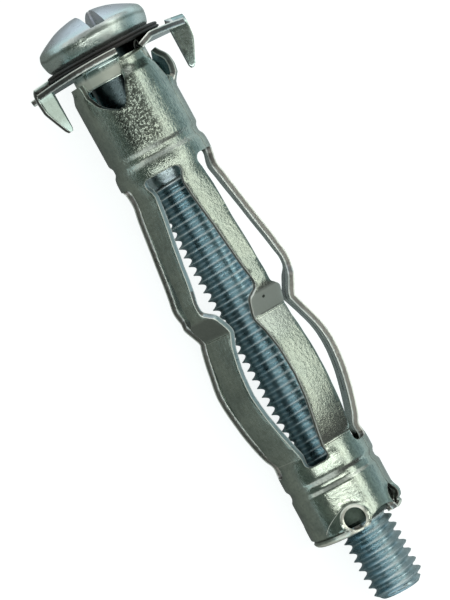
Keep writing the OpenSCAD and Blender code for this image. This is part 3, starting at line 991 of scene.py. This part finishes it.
def thread_tree(material):
    """Geometry nodes: a ridged strip wound round the axis, run out at the shank and the point."""
    tree = bpy.data.node_groups.new("wound_thread", "GeometryNodeTree")
    for name, size in THREAD_SIZES.items():
        socket = tree.interface.new_socket(name=name, in_out="INPUT", socket_type="NodeSocketFloat")
        socket.default_value = size
    tree.interface.new_socket(name="Geometry", in_out="OUTPUT", socket_type="NodeSocketGeometry")
    sizes = tree.nodes.new("NodeGroupInput").outputs
    span = minus(tree, sizes["End"], sizes["Start"])
    turns = plus(tree, calc(tree, "CEIL", calc(tree, "DIVIDE", span, sizes["Pitch"])), 2.0)
    columns = plus(tree, times(tree, turns, float(THREAD_SIDES)), 1.0)
    strip = add(tree, "GeometryNodeMeshGrid", {
        "Size X": 1, "Size Y": 1, "Vertices X": columns, "Vertices Y": THREAD_ROWS + 1,
    })
    flat = split(tree, tree.nodes.new("GeometryNodeInputPosition").outputs[0])
    wound = times(tree, plus(tree, flat["X"], 0.5), turns)
    across = plus(tree, flat["Y"], 0.5)
    angle = times(tree, wound, 2 * math.pi)
    steps = minus(tree, plus(tree, wound, across), 1.0)
    high = plus(tree, sizes["Start"], times(tree, sizes["Pitch"], steps))
    height = calc(tree, "MINIMUM", most(tree, high, sizes["Start"]), sizes["End"])
    from_crest = times(tree, calc(tree, "ABSOLUTE", flat["Y"]), 2.0)
    rise = calc(tree, "DIVIDE", minus(tree, 1.0, from_crest), 0.93)
    ridge = calc(tree, "POWER", calc(tree, "MINIMUM", rise, 1.0), 1.9)
    depth = minus(tree, sizes["Crest radius"], sizes["Root radius"])
    full = plus(tree, sizes["Root radius"], times(tree, depth, ridge))
    run_out = calc(tree, "DIVIDE", minus(tree, height, sizes["Start"]), times(tree, sizes["Pitch"], 1.2))
    run_out = calc(tree, "MINIMUM", run_out, 1.0)
    shank = times(tree, sizes["Shank radius"], minus(tree, 1.0, run_out))
    grown = plus(tree, times(tree, full, run_out), shank)
    cone = plus(tree, sizes["Point radius"], minus(tree, sizes["End"], height))
    radius = calc(tree, "MINIMUM", grown, cone)
    spot = add(tree, "ShaderNodeCombineXYZ", {
        "X": times(tree, radius, calc(tree, "COSINE", angle)),
        "Y": times(tree, radius, calc(tree, "SINE", angle)), "Z": height,
    }).outputs[0]
    made = strip.outputs["Mesh"]
    for kind, inputs in (("SetPosition", {"Position": spot}), ("MergeByDistance", {"Distance": 0.002}),
                         ("RealizeInstances", {}), ("SetMaterial", {"Material": material})):
        made = add(tree, "GeometryNode" + kind, {"Geometry": made, **inputs}).outputs[0]
    add(tree, "NodeGroupOutput", {0: made})
    return tree


def make_thread():
    """The shank and its thread, closed at the point and carried up into the head."""
    piece = new_object("screw_thread", bpy.data.meshes.new("screw_thread"))
    modifier = piece.modifiers.new("thread", "NODES")
    modifier.node_group = thread_tree(SCREW_ZINC)
    for item in modifier.node_group.interface.items_tree:
        if item.name in THREAD_SIZES:
            modifier[item.identifier] = THREAD_SIZES[item.name]
    mesh = applied(piece)
    weld(mesh, 0.002)

    def close_ends(work):
        open_edges = [e for e in work.edges if e.is_boundary]
        low = [e for e in open_edges if e.verts[0].co.z < SHANK_END + 0.1]
        high = [e for e in open_edges if e.verts[0].co.z > SCREW_END - 0.1]
        bmesh.ops.holes_fill(work, edges=high, sides=0)
        for z in np.linspace(SHANK_END, UNDER_HEAD - 0.3, 8)[1:]:
            grown = bmesh.ops.extrude_edge_only(work, edges=low)["geom"]
            low = [g for g in grown if isinstance(g, bmesh.types.BMEdge)]
            for vert in {v for e in low for v in e.verts}:
                vert.co.z = z
        bmesh.ops.holes_fill(work, edges=low, sides=0)

    reworked(mesh, close_ends)
    face_outwards(mesh)
    lean(mesh)
    return place(piece, "screw", ["screw"], 50)


def through(points, n):
    """A smooth line through the points, n steps to each stretch."""
    p = np.array(points, float)
    p = np.concatenate([[2 * p[0] - p[1]], p, [2 * p[-1] - p[-2]]])
    line = []
    for a, b, c, d in zip(p, p[1:], p[2:], p[3:]):
        for k in np.arange(n) / n:
            line.append(0.5 * (2 * b + (c - a) * k + (2 * a - 5 * b + 4 * c - d) * k ** 2
                               + (3 * b - a - 3 * c + d) * k ** 3))
    return [tuple(q) for q in line] + [tuple(p[-2])]


def block(name, sizes, foot, top, bottom):
    """A cutter with four sloped sides: its width and length at the top, and less foot below."""
    verts = []
    for z, less in ((top, 0), (bottom, foot)):
        x, y = sizes[0] / 2 - less, sizes[1] / 2 - less
        verts += [(-x, -y, z), (x, -y, z), (x, y, z), (-x, y, z)]
    faces = [(0, 1, 2, 3), (7, 6, 5, 4)]
    faces += [(i, 4 + i, 4 + (i + 1) % 4, (i + 1) % 4) for i in range(4)]
    mesh = new_mesh(name, verts, faces)
    face_outwards(mesh)
    return new_object(name, mesh)


def make_head():
    crown = UNDER_HEAD - HEAD_H
    side = [(3.7, UNDER_HEAD), (3.9, UNDER_HEAD - 0.3), (HEAD_R, -1.45), (HEAD_R - 0.06, -1.85)]
    dome = [(3.78, -2.15), (3.0, -2.6), (2.05, -3.02), (1.1, -3.25), (0.3, crown)]
    profile = [(0, UNDER_HEAD), (2.5, UNDER_HEAD)] + through(side + dome, 5) + [(0, crown)]
    piece = new_object("screw_head", new_mesh("screw_head", *lathe(profile, 144)))
    weld(piece.data)
    face_outwards(piece.data)
    above, slot_floor = crown - 1, crown + 1.3
    cross_floor = slot_floor + 0.35
    cutters = [block("driver_slot", (12, 1.2), 0.04, above, slot_floor),
               block("driver_cross", (0.95, 4.6), 0.18, above, cross_floor),
               block("driver_deep", (4.6, 0.95), 0.18, above, cross_floor)]
    for cutter in cutters:
        cut = piece.modifiers.new(cutter.name, "BOOLEAN")
        cut.object = cutter
        cut.solver = "EXACT"
    round_edges(piece, 0.09, 3, 38)
    mesh = applied(piece)
    for cutter in cutters:
        bpy.data.objects.remove(cutter)
    mesh.transform(Matrix.Rotation(-math.radians(SLOT_TURN + ROLL), 4, "Z"))
    mesh.materials.append(SCREW_ZINC)
    lean(mesh)
    return place(piece, "screw", ["screw"], 40)


def make_washer():
    """A thin ring with a rounded rim and a groove round its edge."""
    r, top = 4.36, UNDER_HEAD
    edge = [(r - 0.4, top), (r - 0.12, top + 0.06), (r - 0.04, top + 0.17), (r - 0.1, top + 0.26),
            (r, top + 0.35), (r - 0.02, top + 0.44), (r - 0.15, top + 0.5)]
    ring = through(edge, 4) + [(2.1, 0.0), (2.1, top)]
    sides = 120
    verts, faces = [], []
    for i in range(sides):
        a = 2 * math.pi * i / sides
        wave = 0.02 * math.sin(3 * a) + 0.012 * math.sin(7 * a + 1)
        for radius, z in ring:
            grown = radius + (wave if radius > 3 else 0)
            verts.append((grown * math.cos(a), grown * math.sin(a), z))
    n = len(ring)
    for i in range(sides):
        j = (i + 1) % sides
        faces += [(i * n + k, j * n + k, j * n + (k + 1) % n, i * n + (k + 1) % n)
                  for k in range(n)]
    mesh = new_mesh("fibre_washer", verts, faces)
    face_outwards(mesh)
    mesh.materials.append(DARK_FIBRE)
    piece = new_object("fibre_washer", mesh)
    return place(piece, "washer", ["washer"], 50)


def dress_bush():
    # gives the bush inside the sleeve its near-black, painted-shade plating
    bush = frame["nodes"]["threaded_bush"]
    bush.data.materials.clear()
    bush.data.materials.append(SHADED_BUSH_ZINC)


# -------- camera, floor and light
CAMERA_FAR = 250.0
CAMERA_OVER = 7.0
CAMERA_AT = -28.0
LOOK_AT = (19.0, -0.75)
TILTED = 28.56
FRAME_H = 600
FOCAL = 3575
SENSOR_H = 24


def make_camera():
    over = Vector(polar(1, CAMERA_AT, 0))
    right = Vector(polar(1, CAMERA_AT + 90, 0))
    spot = over * CAMERA_FAR + Vector((0, 0, CAMERA_OVER))
    target = right * LOOK_AT[1] + Vector((0, 0, LOOK_AT[0]))
    data = bpy.data.cameras.new("camera")
    data.sensor_fit = "VERTICAL"
    data.sensor_height = SENSOR_H
    data.lens = SENSOR_H * FOCAL / FRAME_H
    data.clip_start, data.clip_end = 0.01, 10
    turned = TO_ROW.to_3x3()
    back = (turned @ (spot - target)).normalized()
    tilt = math.radians(TILTED)
    across = math.cos(tilt) * (turned @ right) + math.sin(tilt) * (turned @ Vector((0, 0, 1)))
    across = (across - back * across.dot(back)).normalized()
    camera = new_object("camera", data)
    camera.matrix_world = placed(TO_ROW @ spot, across, back.cross(across), back)
    bpy.context.scene.camera = camera


def make_floor():
    """A white floor that is seen white in the metal from the lit side and grey from the other."""
    half = 1.5
    corners = [(-half, -half, 0), (half, -half, 0), (half, half, 0), (-half, half, 0)]
    floor = new_object("floor", new_mesh("floor", corners, [(0, 1, 2, 3)]))
    material, tree, shader = nodes_of("white_floor")
    path = add(tree, "ShaderNodeLightPath").outputs
    mirrored = most(tree, path["Is Glossy Ray"], path["Is Transmission Ray"])
    way = split(tree, coordinates(tree, "Object"))
    reach = calc(tree, "MULTIPLY_ADD", way["Y"], 12.0, 0.5)
    glow = mixed(tree, mirrored, (0.97, 1.0, 1.0), (0.72, 0.95, 1.05))
    dim = times(tree, mirrored, ramp(tree, reach, (0.45, 1.0), (0.75, 0.0)))
    grey = mixed(tree, dim, (0.42, 0.42, 0.42), (0.28, 0.3, 0.29))
    ahead = ramp(tree, way["X"], (0.27, 0.0), (0.38, 0.75), scale=-10.0)
    beyond = ramp(tree, way["X"], (0.28, 0.0), (0.42, 0.8), scale=10.0)
    shown = most(tree, ramp(tree, reach, (0.45, 0.0), (0.8, 0.42)), most(tree, ahead, beyond))
    seen = times(tree, path["Is Camera Ray"], 0.84)
    strength = most(tree, times(tree, mirrored, shown), seen)
    feed(tree, shader, {
        "Base Color": grey, "Roughness": 0.9, "Emission Color": glow, "Emission Strength": strength,
    })
    floor.data.materials.append(material)


def softbox(name, direction, along, distance, size, radiance, tint=(1, 1, 1)):
    """A rectangular lamp in a direction about the axis, its long side along the anchor."""
    data = bpy.data.lights.new(name, "AREA")
    data.shape = "RECTANGLE"
    data.size, data.size_y = size[0] * MM, size[1] * MM
    data.energy = radiance * math.pi * data.size * data.size_y
    data.color = tint
    lamp = new_object(name, data)
    a = math.radians(direction)
    outward = Vector((0, math.sin(a), math.cos(a)))
    spot = outward * distance * MM + Vector((along * MM, 0, 0))
    back = (spot - Vector((0, 0, 0.005))).normalized()
    side = Vector((1, 0, 0))
    side = (side - back * side.dot(back)).normalized()
    lamp.matrix_world = placed(spot, side, back.cross(side), back)


# What the room looks like round the axis: by the direction in degrees, as on the lamps.
ROOM = ((-180, (0.06, 0.08, 0.075)), (-75, (0.11, 0.14, 0.125)), (-40, (0.13, 0.155, 0.14)),
        (-10, (0.16, 0.18, 0.16)), (12, (0.15, 0.17, 0.15)), (50, (0.2, 0.26, 0.25)),
        (75, (0.34, 0.45, 0.48)), (100, (0.5, 0.66, 0.74)), (180, (0.5, 0.6, 0.62)))
TOWARDS_HEAD = ((-180, 0.08), (-125, 0.12), (-98, 0.9), (-62, 1.0), (-42, 0.45), (12, 0.6),
                (28, 1.15), (55, 1.1), (76, 0.4), (120, 0.5), (180, 0.1))
TOWARDS_TIP = ((-180, 0.08), (-140, 0.9), (-12, 1.15), (12, 0.22), (60, 0.12), (180, 0.1))


def make_light():
    """Two soft lamps, and a room that is dim on the left and pale on the right."""
    softbox("long_lamp", 35, 5, 300, (430, 90), 1.75, (1, 1, 0.93))
    softbox("near_lamp", -13, 47, 300, (50, 410), 3.3, (1, 1, 0.95))
    world = bpy.data.worlds.new("studio")
    bpy.context.scene.world = world
    world.use_nodes = True
    tree = world.node_tree
    way = split(tree, coordinates(tree, "Generated"))
    around = calc(tree, "ARCTAN2", way["Y"], way["Z"])
    around = calc(tree, "MULTIPLY_ADD", around, 0.5 / math.pi, 0.5)

    def round_about(table):
        return ramp(tree, around, *(((degrees + 180) / 360, shade) for degrees, shade in table))

    shade = round_about(ROOM)
    headward = times(tree, way["X"], -1.0)
    ends = ((TOWARDS_HEAD, headward, 0.36, 0.5), (TOWARDS_TIP, way["X"], 0.42, 0.58))
    for table, out, low, high in ends:
        shade = mixed(tree, ramp(tree, out, (low, 0.0), (high, 1.0)), shade, round_about(table))
    shade = mixed(tree, ramp(tree, headward, (0.8, 0.0), (0.95, 1.0)), shade, (1.0, 1.0, 1.12))
    feed(tree, tree.nodes["Background"], {"Color": shade, "Strength": 1.0})


make_sleeve()
make_collar()
make_thread()
make_head()
make_washer()
dress_bush()
make_camera()
make_floor()
make_light()
bpy.context.scene.view_settings.view_transform = "Standard"
